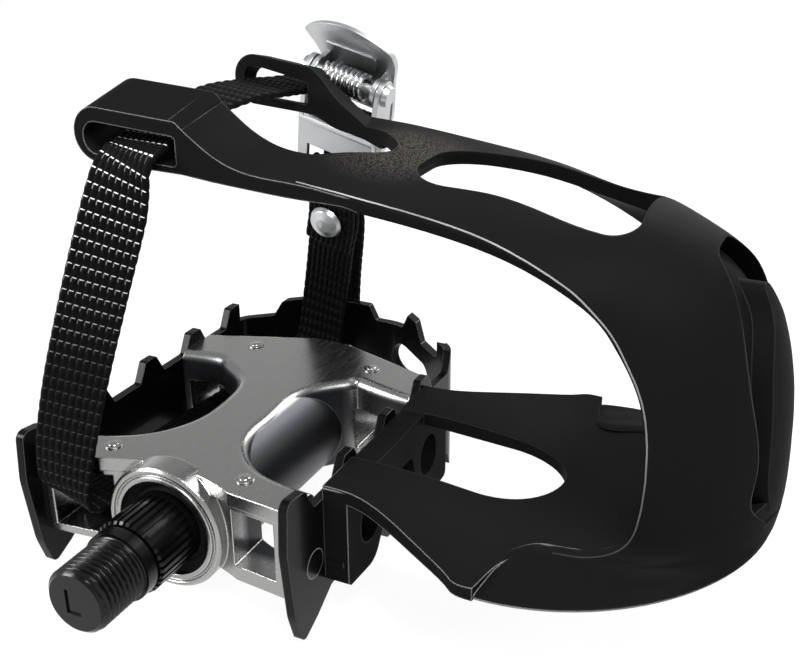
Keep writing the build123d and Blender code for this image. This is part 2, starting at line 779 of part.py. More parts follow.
# Strap


def near_buckle(up, inboard, along=0.0):
    """Point of the strap's route given in the buckle's own frame."""
    return buckle.from_local_coords(Vector(along, up, inboard))


def strap_route():
    """Middle of the webbing from its folded end to its free end, with its width direction."""
    flat = Vector(1, 0, -0.05)
    tilted = across
    fixed = [(-45.5, 5.9, 0.6), (-36.0, 5.9, 1.2), (-27.0, 5.9, 0.4), (-23.3, 5.9, 0), (-22.3, 5.5, 0),
             (-21.9, 4.6, 0), (-21.9, 3.4, 0), (-22.3, 2.5, 0), (-23.3, 2.1, 0), (-27.0, 2.1, 0.4),
             (-31.0, 3.3, 0.9), (-33.5, 3.6, 1.1), (-38.0, 3.6, 1.2), (-46.0, 3.6, 0.4)]
    route = [(near_buckle(up, inboard, along), tilted) for up, inboard, along in fixed]
    lower = [
        ((-8.4, 102.4, 26.0), Vector(1, 0, -0.2)),
        ((-11.0, 103.6, 14.0), Vector(1, 0, -0.2)),
        ((-12.4, 103.0, 5.0), Vector(1, 0.1, -0.2)),
        ((-14.4, 100.2, -1.4), Vector(1, 0.25, -0.2)),
        ((-17.6, 96.2, -3.4), Vector(1, 0.3, -0.1)),
        ((-20.4, 91.2, -4.0), Vector(1, 0.15, -0.05)),
        ((-21.9, 86.0, -3.9), flat),
        ((-21.9, 79.0, -3.4), flat),
        ((-21.9, 66.0, -2.6), flat),
        ((-21.9, 45.0, -1.2), flat),
        ((-21.9, 26.0, 0.0), Vector(1, 0, -0.15)),
        ((-21.9, 17.0, 1.4), Vector(1, 0, -0.3)),
        ((-22.1, 13.0, 3.6), Vector(1, 0, -0.35)),
        ((-22.0, 11.8, 8.0), Vector(1, 0, -0.35)),
        ((-20.4, 12.4, 18.0), Vector(1, 0, -0.2)),
        ((-17.0, 14.0, 32.0), Vector(1, -0.05, 0)),
        ((-11.8, 16.4, 50.0), Vector(1, -0.1, 0.05)),
        ((-6.2, 18.2, 67.0), Vector(1, -0.22, 0)),
        ((-3.8, 18.8, 74.6), Vector(1, -0.28, 0)),
        ((-2.6, 20.2, 77.9), Vector(1, -0.25, 0)),
        ((-2.0, 23.2, 79.0), Vector(1, -0.15, 0)),
        ((-1.6, 29.0, 80.6), Vector(1, -0.1, -0.05)),
        ((-1.0, 36.0, 82.6), Vector(1, -0.15, -0.05)),
        ((0.6, 48.5, 83.8), Vector(1, -0.1, -0.08)),
        ((1.8, 60.0, 82.9), Vector(1, -0.05, -0.1)),
        ((2.2, 65.5, 82.3), Vector(1, 0, -0.1)),
        ((2.6, 69.6, 81.7), Vector(1, -0.1, -0.1)),
        ((3.8, 75.6, 80.9), Vector(1, -0.2, -0.12)),
        ((4.7, 80.4, 78.9), Vector(1, -0.15, -0.22)),
    ]
    route += [(Vector(*point), width) for point, width in lower]
    free = [(-5.2, 4.2, 0), (-6.4, 0.6, 0), (-10.0, -3.0, 0), (-16.0, -4.2, -0.4), (-24.0, -4.4, -1.0),
            (-34.0, -3.4, -1.6)]
    route += [(near_buckle(up, inboard, along), tilted) for up, inboard, along in free]
    tail = [(-4.8, 104.6, 40.0), (-9.2, 110.4, 24.0), (-11.3, 113.0, 12.0), (-12.2, 113.6, 0.0)]
    route += [(Vector(*point), Vector(1, 0, -0.2)) for point in tail]
    return route


def strap():
    route = strap_route()
    sections = []
    for step, (point, width) in enumerate(route):
        before = route[max(step - 1, 0)][0]
        after = route[min(step + 1, len(route) - 1)][0]
        travel = (after - before).normalized()
        width = (width - travel * width.dot(travel)).normalized()
        plane = Plane(origin=point, x_dir=width, z_dir=travel)
        sections.append(plane * Rectangle(strap_width, strap_thickness))
    webbing = loft(sections, ruled=True)
    hole = Plane(origin=near_buckle(rivet_up, 0, rivet_along), z_dir=buckle.z_dir) * extrude(Circle(1.7), 9)
    return webbing - hole


def strap_rivet():
    """Domed rivet through the folded end of the webbing."""
    place = near_buckle(rivet_up, 6.9, rivet_along)
    plane = Plane(origin=place, z_dir=buckle.z_dir)
    points = [(0, -5.4), (1.6, -5.4), (1.6, 0), (4.4, 0), (3.8, 1.2), (1.8, 2.0), (0, 2.2)]
    return plane * revolve(Plane.XZ * make_face(Polyline(*points, close=True)), Axis.Z)


def strap_rivet_burr():
    place = near_buckle(rivet_up, 6.9, rivet_along)
    plane = Plane(origin=place, z_dir=buckle.z_dir)
    ring = Circle(3.6) - Circle(1.62)
    return plane * (Pos(0, 0, -5.4) * extrude(ring, 0.9))


pieces = (
    spindle, thrust_washer, lock_nut, lock_sleeve, seal_ring, inboard_bush, outboard_bush,
    dust_cap, pedal_body, cage, cage_screws, toe_clip, toe_clip_bolts, toe_clip_washers,
    toe_clip_inserts, strap, strap_rivet, strap_rivet_burr, buckle_frame, buckle_lever, lever_pin,
    lever_spring, buckle_roller, roller_pin,
)

os.makedirs("parts", exist_ok=True)
for piece in pieces:
    shape = piece()
    if isinstance(shape, list):
        shape = Compound(children=shape)
    export_step(shape, f"parts/{piece.__name__}.step")
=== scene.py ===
import itertools
import json
import math

import bpy
import bmesh
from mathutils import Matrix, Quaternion, Vector


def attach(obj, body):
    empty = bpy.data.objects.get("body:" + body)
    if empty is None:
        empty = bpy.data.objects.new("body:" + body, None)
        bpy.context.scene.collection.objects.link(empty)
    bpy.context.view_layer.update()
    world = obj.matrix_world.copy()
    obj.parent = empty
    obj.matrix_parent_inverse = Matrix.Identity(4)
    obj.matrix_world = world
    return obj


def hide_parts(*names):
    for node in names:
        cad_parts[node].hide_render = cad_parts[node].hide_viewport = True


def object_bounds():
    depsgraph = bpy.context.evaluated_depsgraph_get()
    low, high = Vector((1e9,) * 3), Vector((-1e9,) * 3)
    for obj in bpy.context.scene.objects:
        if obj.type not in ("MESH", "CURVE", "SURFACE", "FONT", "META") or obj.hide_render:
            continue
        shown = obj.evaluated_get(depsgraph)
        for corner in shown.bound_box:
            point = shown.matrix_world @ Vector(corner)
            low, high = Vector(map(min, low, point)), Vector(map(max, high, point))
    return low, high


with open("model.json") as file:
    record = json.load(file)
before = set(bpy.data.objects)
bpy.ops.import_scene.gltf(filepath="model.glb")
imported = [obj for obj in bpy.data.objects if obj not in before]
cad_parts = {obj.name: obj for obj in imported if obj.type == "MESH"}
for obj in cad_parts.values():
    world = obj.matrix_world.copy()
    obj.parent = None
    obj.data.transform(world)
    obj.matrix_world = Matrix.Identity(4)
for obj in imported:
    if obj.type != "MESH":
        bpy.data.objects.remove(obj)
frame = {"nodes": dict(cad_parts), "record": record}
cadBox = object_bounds()
mm = 0.001
print("frame loaded:", len(frame["nodes"]), "nodes")


# helpers for materials

def linearColour(hexText):
    channels = [int(hexText[i:i + 2], 16) / 255 for i in (1, 3, 5)]
    curve = [c / 12.92 if c <= 0.04045 else ((c + 0.055) / 1.055) ** 2.4 for c in channels]
    return (*curve, 1.0)


def addNode(tree, kind, inputs=None, **settings):
    # each input is given a value, or the output that feeds it
    node = tree.nodes.new(kind)
    for name, value in settings.items():
        setattr(node, name, value)
    for name, value in (inputs or {}).items():
        if isinstance(value, bpy.types.NodeSocket):
            tree.links.new(value, node.inputs[name])
        else:
            node.inputs[name].default_value = value
    return node


def startMaterial(name, colour, roughness, metallic=0.0, specular=0.5):
    material = bpy.data.materials.new(name)
    material.use_nodes = True
    shader = material.node_tree.nodes["Principled BSDF"]
    shader.inputs["Base Color"].default_value = linearColour(colour)
    shader.inputs["Roughness"].default_value = roughness
    shader.inputs["Metallic"].default_value = metallic
    shader.inputs["Specular IOR Level"].default_value = specular
    return material, material.node_tree, shader


def perMetre(size):
    return 1 / (size * mm)  # pattern scale whose features are about this many mm


def objectPlace(tree):
    return addNode(tree, "ShaderNodeTexCoord").outputs["Object"]


def split(tree, vector):
    return addNode(tree, "ShaderNodeSeparateXYZ", {"Vector": vector}).outputs


def maths(tree, operation, *values):
    return addNode(tree, "ShaderNodeMath", dict(enumerate(values)), operation=operation).outputs["Value"]


def vectorMaths(tree, operation, *vectors):
    return addNode(tree, "ShaderNodeVectorMath", dict(enumerate(vectors)), operation=operation).outputs


def mapped(tree, value, low, high, toLow=0.0, toHigh=1.0, **settings):
    # carries a value from the range low to high over to the range toLow to toHigh
    ends = {"Value": value, "From Min": low, "From Max": high, "To Min": toLow, "To Max": toHigh}
    return addNode(tree, "ShaderNodeMapRange", ends, **settings).outputs["Result"]


def blendColour(tree, share, first, second):
    return addNode(tree, "ShaderNodeMix", {0: share, 6: first, 7: second}, data_type="RGBA").outputs[2]


def blendValue(tree, share, first, second):
    return addNode(tree, "ShaderNodeMix", {0: share, 2: first, 3: second}).outputs[0]


def clouds(tree, vector, size, detail):
    noise = {"Vector": vector, "Scale": perMetre(size), "Detail": detail}
    return addNode(tree, "ShaderNodeTexNoise", noise).outputs["Fac"]


def cells(tree, vector, size):
    pattern = {"Vector": vector, "Scale": perMetre(size)}
    return addNode(tree, "ShaderNodeTexVoronoi", pattern).outputs["Distance"]


def relief(tree, height, strength, depth):
    return addNode(tree, "ShaderNodeBump", {"Height": height, "Strength": strength, "Distance": depth * mm})


def unevenShine(tree, shader, size, detail, low, high, window=(0.0, 1.0)):
    # roughness that drifts from low to high over patches of about this many mm
    patches = clouds(tree, objectPlace(tree), size, detail)
    tree.links.new(mapped(tree, patches, *window, low, high), shader.inputs["Roughness"])


def softEdges(tree, shader, radius, bump=None, paintedGlint=None, fade=1.0):
    # rounds the look of edges, so that they catch a thin line of light; a given colour also paints a paler
    # highlight line on them
    edge = addNode(tree, "ShaderNodeBevel", {"Radius": radius * mm}, samples=6)
    if bump:
        tree.links.new(edge.outputs["Normal"], bump.inputs["Normal"])
    tree.links.new((bump or edge).outputs["Normal"], shader.inputs["Normal"])
    if paintedGlint:  # painted highlight: the edges are painted paler than the faces
        faceNormal = addNode(tree, "ShaderNodeNewGeometry").outputs["Normal"]
        bend = vectorMaths(tree, "DOT_PRODUCT", edge.outputs["Normal"], faceNormal)["Value"]
        # share of the painted edge highlight, strongest on sharp edges
        line = mapped(tree, bend, low=0.95, high=0.82, toHigh=fade)
        base = shader.inputs["Base Color"]
        plain = base.links[0].from_socket if base.links else base.default_value[:]
        tree.links.new(blendColour(tree, line, plain, linearColour(paintedGlint)), base)


# materials

# the edge colour is a painted highlight along the edges
alloyLook = {"bright": "#9C9C9B", "castSkinAndShade": "#46474A", "edge": "#D2D2D0", "castRoughness": 0.42,
             "middle": 45.5, "bars": 25.0, "hollow": 22.5,  # mm along the axle, the last two from the middle
             "plate": 12.3, "below": 11.2}  # heights in mm


def polishedAlloy(edged=True):
    # polished cast aluminium: bright and softly wavy on the bars, a rougher cast skin in hollows that no
    # wheel reaches, with painted shade darkening their colour
    look = alloyLook
    material, tree, shader = startMaterial("polishedAlloy", look["bright"], 0.2, metallic=1.0)
    place = objectPlace(tree)
    lines = addNode(tree, "ShaderNodeMapping", {"Vector": place, "Scale": (1.0, 0.12, 1.0)}).outputs["Vector"]
    polish = mapped(tree, clouds(tree, lines, size=0.6, detail=3), 0.35, 0.7, toLow=0.22, toHigh=0.29)
    hollow = castSkinAndShadeShare(tree, place)
    # painted shade: the colour in the hollows is darkened
    tone = blendColour(tree, hollow, linearColour(look["bright"]), linearColour(look["castSkinAndShade"]))
    tree.links.new(tone, shader.inputs["Base Color"])
    tree.links.new(blendValue(tree, hollow, polish, look["castRoughness"]), shader.inputs["Roughness"])
    if edged:
        wave = relief(tree, clouds(tree, place, size=7, detail=2), strength=0.06, depth=0.4)
        # painted highlight: a paler line painted along the edges
        softEdges(tree, shader, 0.5, wave, look["edge"])
    return material


def castSkinAndShadeShare(tree, place):
    # share of the rougher cast skin and of the painted shade in the hollows: full between the two bars below
    # the top plate, none on the bars
    look = alloyLook
    part = split(tree, place)
    away = maths(tree, "ABSOLUTE", maths(tree, "SUBTRACT", part["Y"], look["middle"] * mm))
    inside = mapped(tree, away, look["bars"] * mm, look["hollow"] * mm)
    deep = mapped(tree, part["Z"], look["plate"] * mm, look["below"] * mm)
    return maths(tree, "MULTIPLY", inside, deep)


def blackEnamel():
    # baked gloss enamel on pressed steel: near black, sharp highlights with a little orange peel
    material, tree, shader = startMaterial("blackEnamel", "#070708", 0.24, specular=0.07)
    shader.inputs["Coat Weight"].default_value = 0.05
    shader.inputs["Coat Roughness"].default_value = 0.08
    peel = relief(tree, clouds(tree, objectPlace(tree), size=1.6, detail=2), strength=0.08, depth=0.1)
    # painted highlight: a paler grey line painted along the edges
    softEdges(tree, shader, 0.4, peel, "#48484A")
    return material


def clipNylon():
    # glass-filled nylon, moulded with a fine spark-eroded grain: dark grey-black and satin
    material, tree, shader = startMaterial("clipNylon", "#0F0F10", 0.55, specular=0.014)
    unevenShine(tree, shader, size=18, detail=3, low=0.5, high=0.62, window=(0.3, 0.7))
    stippleDots(tree, shader)
    place = objectPlace(tree)
    grain = relief(tree, cells(tree, place, size=0.7), strength=0.12, depth=0.06)
    near = mapped(tree, split(tree, place)["Y"], 37 * mm, 27 * mm, toLow=0.12)  # painted edge highlight, fainter on far edges
    # painted highlight: a paler line painted along the clip's edges
    softEdges(tree, shader, 0.45, grain, "#7A7A7A", near)
    return material


stippleLook = {"dot": 0.36, "colour": "#544F47", "strength": 0.75,
               "centre": (39, 50, 76), "reach": (16, 20, 8)}  # of the patch, in mm


def stippleDots(tree, shader):
    # patch of pale stipple on the top of the clip, between the strap arms and the vent
    look = stippleLook
    place = addNode(tree, "ShaderNodeTexCoord").outputs
    dots = mapped(tree, cells(tree, place["Object"], look["dot"]), 0.58, 0.2)
    offset = vectorMaths(tree, "SUBTRACT", place["Object"], Vector(look["centre"]) * mm)["Vector"]
    perReach = [perMetre(reach) for reach in look["reach"]]
    away = vectorMaths(tree, "LENGTH", vectorMaths(tree, "MULTIPLY", offset, perReach)["Vector"])["Value"]
    patch = mapped(tree, away, 1.0, 0.4, toHigh=look["strength"])
    level = mapped(tree, split(tree, place["Normal"])["Z"], 0.6, 0.85)
    share = maths(tree, "MULTIPLY", dots, maths(tree, "MULTIPLY", level, patch))
    base = shader.inputs["Base Color"]
    tree.links.new(blendColour(tree, share, base.default_value[:], linearColour(look["colour"])), base)


def paintedHighlightNylon():
    # the clip's nylon with a painted highlight: a thin pale line of light on the edge, fading down the toe
    material, tree, shader = startMaterial("paintedHighlightNylon", "#3A3A3A", 0.35, specular=0.1)
    place = objectPlace(tree)
    height = mapped(tree, split(tree, place)["Z"], 13 * mm, 76 * mm)
    share = maths(tree, "MULTIPLY", height, clouds(tree, place, size=14, detail=2))
    # painted highlight, paler higher up the toe
    tone = blendColour(tree, share, linearColour("#242424"), linearColour("#B8B8B8"))
    tree.links.new(tone, shader.inputs["Base Color"])
    return material


def blackOxide(paintedGlint=None):
    # oil-blackened steel: dark with a dull shine, and, where a colour is given, a painted highlight on the
    # rims of heads
    material, tree, shader = startMaterial("blackOxide", "#070708", 0.24, specular=0.22)
    unevenShine(tree, shader, size=2.5, detail=4, low=0.16, high=0.3)
    if paintedGlint:
        softEdges(tree, shader, 0.3, paintedGlint=paintedGlint)
    return material


def brightNickel():
    # bright nickel plate on pressed steel: smooth and bright, with reflections blurred by a faint haze
    material, tree, shader = startMaterial("brightNickel", "#B9BBBC", 0.22, metallic=1.0)
    unevenShine(tree, shader, size=5, detail=2, low=0.34, high=0.44, window=(0.35, 0.75))
    softEdges(tree, shader, 0.3)
    return material


def springWire():
    # drawn spring wire: bright steel whose shine is broken up by fine marks
    material, tree, shader = startMaterial("springWire", "#B9B9BA", 0.24, metallic=1.0)
    unevenShine(tree, shader, size=0.5, detail=2, low=0.16, high=0.34)
    return material


def sealRubber():
    # moulded nitrile rubber: soft black with a dusty bloom
    material, tree, shader = startMaterial("sealRubber", "#0B0B0B", 0.7, specular=0.1)
    unevenShine(tree, shader, size=3, detail=3, low=0.6, high=0.8)
    return material


def sinteredBronze():
    # oil-filled sintered bronze: dull gold-brown with fine pores
    material, tree, shader = startMaterial("sinteredBronze", "#A8814B", 0.45, metallic=1.0)
    pores = relief(tree, cells(tree, objectPlace(tree), size=0.4), strength=0.2, depth=0.05)
    tree.links.new(pores.outputs["Normal"], shader.inputs["Normal"])
    return material


def mouldedAcetal():
    # moulded black acetal: deep black, smooth and slightly waxy
    material, tree, shader = startMaterial("mouldedAcetal", "#060607", 0.22, specular=0.2)
    unevenShine(tree, shader, size=4, detail=3, low=0.16, high=0.28)
    return material


webbingLook = {"yarn": "#080809", "paintedGlint": "#E6E6E6", "tickShare": 0.25}


def nylonWebbing():
    # woven nylon tape: black yarn, with a painted highlight along the upper edge of each float on the near
    # run
    look = webbingLook
    material, tree, shader = startMaterial("nylonWebbing", look["yarn"], 0.6, specular=0.04)
    weave = split(tree, addNode(tree, "ShaderNodeUVMap").outputs["UV"])
    across, along = maths(tree, "FRACT", weave["X"]), maths(tree, "FRACT", weave["Y"])

    def hump(value, centre, reach):
        away = maths(tree, "ABSOLUTE", maths(tree, "SUBTRACT", value, centre))
        return mapped(tree, away, reach, reach * 0.55, interpolation_type="SMOOTHSTEP")

    def halfWave(value):
        return maths(tree, "SINE", maths(tree, "MULTIPLY", value, math.pi))

    # painted highlight: a bright dash and a fainter tick on each float
    dash = maths(tree, "MULTIPLY", hump(across, 0.52, 0.38), hump(along, 0.9, 0.045))
    tick = maths(tree, "MULTIPLY", hump(across, 0.18, 0.1), hump(along, 0.7, 0.2))
    paintedGlint = maths(tree, "MAXIMUM", dash, maths(tree, "MULTIPLY", tick, look["tickShare"]))
    place = split(tree, objectPlace(tree))
    # the painted highlight fades lower down and away from the near run
    upper = mapped(tree, place["Z"], 34 * mm, 80 * mm, toLow=0.03)
    near = mapped(tree, place["Y"], 34 * mm, 22 * mm, toLow=0.04)
    share = maths(tree, "MULTIPLY", paintedGlint, maths(tree, "MULTIPLY", upper, near))
    tone = blendColour(tree, share, linearColour(look["yarn"]), linearColour(look["paintedGlint"]))
    tree.links.new(tone, shader.inputs["Base Color"])
    crown = maths(tree, "MULTIPLY", halfWave(across), halfWave(along))
    tree.links.new(relief(tree, crown, strength=0.7, depth=0.35).outputs["Normal"], shader.inputs["Normal"])
    return material


finishes = {
    "spindle_steel": blackOxide(),
    "black_sleeve": mouldedAcetal(),
    "seal_rubber": sealRubber(),
    "bush_bronze": sinteredBronze(),
    "insert_brass": sinteredBronze(),
    "polished_alloy": polishedAlloy(),
    "cage_black": blackEnamel(),
    # painted highlight on the rims of the screw heads
    "black_fastener": blackOxide("#8C8C8C"),
    "clip_plastic": clipNylon(),
    "strap_webbing": nylonWebbing(),
    "bright_plate": brightNickel(),
    "spring_steel": springWire(),
}
slotOf = {part["node"]: part["material_slot"] for part in frame["record"]["subparts"]}
for nodeName, node in frame["nodes"].items():
    node.data.materials.clear()
    node.data.materials.append(finishes[slotOf[nodeName]])
print("materials on", len(slotOf), "nodes")


# helpers for pieces

def finishPiece(piece, slot, replaced=None, finish=None):
    piece.data.materials.clear()
    piece.data.materials.append(finish or finishes[slot])
    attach(piece, "spindle" if slot == "spindle_steel" else "pedal")
    if replaced:
        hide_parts(replaced)


def selectOnly(piece):
    bpy.ops.object.select_all(action="DESELECT")
    piece.select_set(True)
    bpy.context.view_layer.objects.active = piece


def turnsOf(count):
    return [2 * math.pi * j / count for j in range(count)]


def loftRings(name, rings, weaveCells=None):
    # closed mesh through rings of points in mm, each with its place in the weave where that is given
    piece = bpy.data.objects.new(name, bpy.data.meshes.new(name))
    bpy.context.scene.collection.objects.link(piece)
    bm = bmesh.new()
    weave = bm.loops.layers.uv.new("weave") if weaveCells else None
    rows = [[bm.verts.new(Vector(point) * mm) for point in ring] for ring in rings]
    count = len(rows[0])
    for i, k in itertools.product(range(len(rows) - 1), range(count)):
        after = (k + 1) % count
        corners = [(i, k), (i, after), (i + 1, after), (i + 1, k)]
        face = bm.faces.new([rows[row][column] for row, column in corners])
        if weaveCells:
            for loop, (row, column) in zip(face.loops, corners):
                loop[weave].uv = weaveCells[row][column]
    bm.faces.new(rows[0][::-1])
    bm.faces.new(rows[-1])
    bmesh.ops.recalc_face_normals(bm, faces=bm.faces)
    bm.to_mesh(piece.data)
    bm.free()
    return piece


def smoothBelow(piece, degrees):
    selectOnly(piece)
    bpy.ops.object.shade_smooth_by_angle(angle=math.radians(degrees))


def easedRoute(route, step):
    # smooth run through stations of place and width, in steps of about this many mm
    line = []
    for i in range(len(route) - 1):
        p0, p1, p2, p3 = (route[min(max(i + k, 0), len(route) - 1)] for k in (-1, 0, 1, 2))
        span = (p2[0] - p1[0]).length
        pieces = max(2, round(span / step))
        for k in range(pieces):
            t = k / pieces
            row = []
            for a, b, c, d in zip(p0, p1, p2, p3):
                start = (c - a) * 0.5 * min(1, span / max((b - a).length, 1e-6)) if a is not b else c - b
                end = (d - b) * 0.5 * min(1, span / max((d - c).length, 1e-6)) if c is not d else c - b
                row.append(b * (2 * t**3 - 3 * t**2 + 1) + start * (t**3 - 2 * t**2 + t)
                           + c * (3 * t**2 - 2 * t**3) + end * (t**3 - t**2))
            line.append(row)
    return line + [list(route[-1])]


# spindle with its left-hand thread and side mark

spindleLook = {"radius": 7.1, "tip": -12.4, "pitch": 1.27, "depth": 0.72, "around": 96, "steps": 160,
               "chamfer": 1.0, "runOut": 0.8,  # mm at the tip and at the shoulder
               "flank": 1.25, "crest": 0.12,  # slope of the groove's sides and share left flat
               "rest": [(0.0, 7.7), (2.7, 7.7), (3.0, 7.4), (3.0, 6.0), (40.0, 6.0), (58.0, 4.5), (75.3, 4.5),
                        (75.3, 3.5), (82.4, 3.5), (83.0, 2.9)],  # place along the axis and radius
               "mark": {"stem": 5.4, "foot": 3.4, "stroke": 1.0, "depth": 0.4}, "smooth": 38}


def threadRing(y):
    look = spindleLook
    chamfer = max(0.0, look["chamfer"] - (y - look["tip"]))
    runOut = min(1.0, -y / look["runOut"])
    ring = []
    for j, turn in enumerate(turnsOf(look["around"])):
        wave = abs(2 * ((y / look["pitch"] + j / look["around"]) % 1) - 1)
        groove = look["depth"] * min(1.0, max(0.0, wave * look["flank"] - look["crest"])) * runOut
        radius = look["radius"] - max(groove, chamfer)
        ring.append((radius * math.cos(turn), y, radius * math.sin(turn)))
    return ring


def cutMark(spindle):
    tip, mark = spindleLook["tip"], spindleLook["mark"]
    stem, foot, stroke = mark["stem"], mark["foot"], mark["stroke"]
    bars = [(stroke, stem, -foot / 2, 0), (foot, stroke, -stroke / 2, (stroke - stem) / 2)]
    for wide, tall, across, up in bars:
        bpy.ops.object.select_all(action="DESELECT")
        bpy.ops.mesh.primitive_cube_add(size=1)
        cutter = bpy.context.object
        cutter.scale = (wide * mm, 2 * mark["depth"] * mm, tall * mm)
        cutter.location = (across * mm, tip * mm, up * mm)
        selectOnly(cutter)
        bpy.ops.object.transform_apply(location=True, rotation=True, scale=True)
        selectOnly(spindle)
        cut = spindle.modifiers.new("mark", "BOOLEAN")
        cut.object = cutter
        cut.operation = "DIFFERENCE"
        bpy.ops.object.modifier_apply(modifier="mark")
        bpy.data.objects.remove(cutter)


def threadedSpindle():
    look = spindleLook
    rings = [threadRing(look["tip"] - look["tip"] * k / look["steps"]) for k in range(look["steps"] + 1)]
    turns = turnsOf(look["around"])
    for y, radius in look["rest"]:
        rings.append([(radius * math.cos(turn), y, radius * math.sin(turn)) for turn in turns])
    spindle = loftRings("threadedSpindle", rings)
    smoothBelow(spindle, look["smooth"])
    cutMark(spindle)
    finishPiece(spindle, "spindle_steel", "spindle")
    print("spindle:", len(spindle.data.polygons), "faces")


threadedSpindle()


# four casting pips on the body's top plate

pipLook = {"places": [(16.5, 21.7), (-16.5, 21.7), (16.5, 78.2), (-16.5, 78.2)], "top": 12.5,
           "tiers": [(2.0, 0.3, 0.12), (1.25, 0.62, 0.45)],  # radius, rise and rounding of ring and dome
           "around": 28, "roundingSteps": 4, "smooth": 40}


def bodyPips():
    look = pipLook
    made = []
    for (x, y), (radius, rise, rounding) in itertools.product(look["places"], look["tiers"]):
        bpy.ops.object.select_all(action="DESELECT")
        bpy.ops.mesh.primitive_cylinder_add(vertices=look["around"], radius=radius * mm, depth=2 * rise * mm,
                                            location=(x * mm, y * mm, look["top"] * mm))
        pip = bpy.context.object
        soften = pip.modifiers.new("dome", "BEVEL")
        soften.width, soften.segments = rounding * mm, look["roundingSteps"]
        bpy.ops.object.modifier_apply(modifier="dome")
        made.append(pip)
    for pip in made:
        pip.select_set(True)
    bpy.ops.object.join()
    bpy.ops.object.transform_apply(location=True, rotation=True, scale=True)
    pips = bpy.context.object
    pips.name = "bodyPips"
    smoothBelow(pips, look["smooth"])
    finishPiece(pips, "polished_alloy", finish=polishedAlloy(edged=False))
    print("pips:", len(look["places"]))


bodyPips()


# place of the buckle, which the strap and the spring share

buckleLook = {"origin": (6.6, 88.0, 79.6), "tilt": 15.2, "lean": 17.5}
buckleOrigin = Vector(buckleLook["origin"])
buckleTilt, buckleLean = math.radians(buckleLook["tilt"]), math.radians(buckleLook["lean"])
buckleAcross = Vector((math.cos(buckleTilt), 0, -math.sin(buckleTilt)))
buckleUp = Vector((math.cos(buckleLean) * math.sin(buckleTilt), -math.sin(buckleLean),
                   math.cos(buckleLean) * math.cos(buckleTilt)))
buckleInboard = buckleAcross.cross(buckleUp)


def nearBuckle(up, inboard, along=0.0):
    return buckleOrigin + buckleAcross * along + buckleUp * up + buckleInboard * inboard


# woven strap, laid along the same route as its solid

strapLook = {"width": 13.0, "thickness": 1.6, "columns": 9, "row": 2.8, "relief": 0.3, "step": 0.6,
             "scallop": 0.18, "across": 36, "rowRound": 0.5, "columnRound": 0.6, "edgeLift": 0.45}


def strapRoute():
    # stations of place and width: the fold at the buckle, the loop round the pedal, and the free end
    flat = (1, 0, -0.05)
    fixed = [(-45.5, 5.9, 0.6), (-36.0, 5.9, 1.2), (-27.0, 5.9, 0.4), (-23.3, 5.9, 0), (-22.3, 5.5, 0),
             (-21.9, 4.6, 0), (-21.9, 3.4, 0), (-22.3, 2.5, 0), (-23.3, 2.1, 0), (-27.0, 2.1, 0.4),
             (-31.0, 3.3, 0.9), (-33.5, 3.6, 1.1), (-38.0, 3.6, 1.2), (-46.0, 3.6, 0.4)]
    route = [(nearBuckle(*place), buckleAcross) for place in fixed]
    loop = [
        ((-8.4, 102.4, 26.0), (1, 0, -0.2)), ((-11.0, 103.6, 14.0), (1, 0, -0.2)),
        ((-12.4, 103.0, 5.0), (1, 0.1, -0.2)), ((-14.4, 100.2, -1.4), (1, 0.25, -0.2)),
        ((-17.6, 96.2, -3.4), (1, 0.3, -0.1)), ((-20.4, 91.2, -4.0), (1, 0.15, -0.05)),
        ((-21.9, 86.0, -3.9), flat), ((-21.9, 79.0, -3.4), flat), ((-21.9, 66.0, -2.6), flat),
        ((-21.9, 45.0, -1.2), flat), ((-21.9, 26.0, 0.0), (1, 0, -0.15)),
        ((-21.9, 17.0, 1.4), (1, 0, -0.3)), ((-22.1, 13.0, 3.6), (1, 0, -0.35)),
        ((-22.0, 11.8, 8.0), (1, 0.1, -0.35)), ((-20.4, 12.4, 18.0), (1, 0.3, -0.2)),
        ((-17.0, 14.0, 32.0), (1, 0.45, 0)), ((-11.8, 16.4, 50.0), (1, 0.48, 0.05)),
        ((-6.2, 18.2, 67.0), (1, 0.3, 0)), ((-3.8, 18.8, 74.6), (1, 0, 0)),
        ((-2.6, 20.2, 77.9), (1, -0.15, 0)), ((-2.0, 23.2, 79.0), (1, -0.15, 0)),
        ((-1.6, 29.0, 80.6), (1, -0.1, -0.05)), ((-1.0, 36.0, 82.6), (1, -0.15, -0.05)),
        ((0.6, 48.5, 83.8), (1, -0.1, -0.08)), ((1.8, 60.0, 82.9), (1, -0.05, -0.1)),
        ((2.2, 65.5, 82.3), (1, 0, -0.1)), ((2.6, 69.6, 81.7), (1, -0.1, -0.1)),
        ((3.8, 75.6, 80.9), (1, -0.2, -0.12)), ((4.7, 80.4, 78.9), (1, -0.15, -0.22)),
    ]
    route += [(Vector(place), Vector(width)) for place, width in loop]
    free = [(-5.2, 4.2, 0), (-6.4, 0.6, 0), (-10.0, -3.0, 0), (-16.0, -4.2, -0.4), (-24.0, -4.4, -1.0),
            (-34.0, -3.4, -1.6)]
    route += [(nearBuckle(*place), buckleAcross) for place in free]
    tail = [(-4.8, 104.6, 40.0), (-9.2, 110.4, 24.0), (-11.3, 113.0, 12.0), (-12.2, 113.6, 0.0)]
    route += [(Vector(place), Vector((1, 0, -0.2))) for place in tail]
    return route


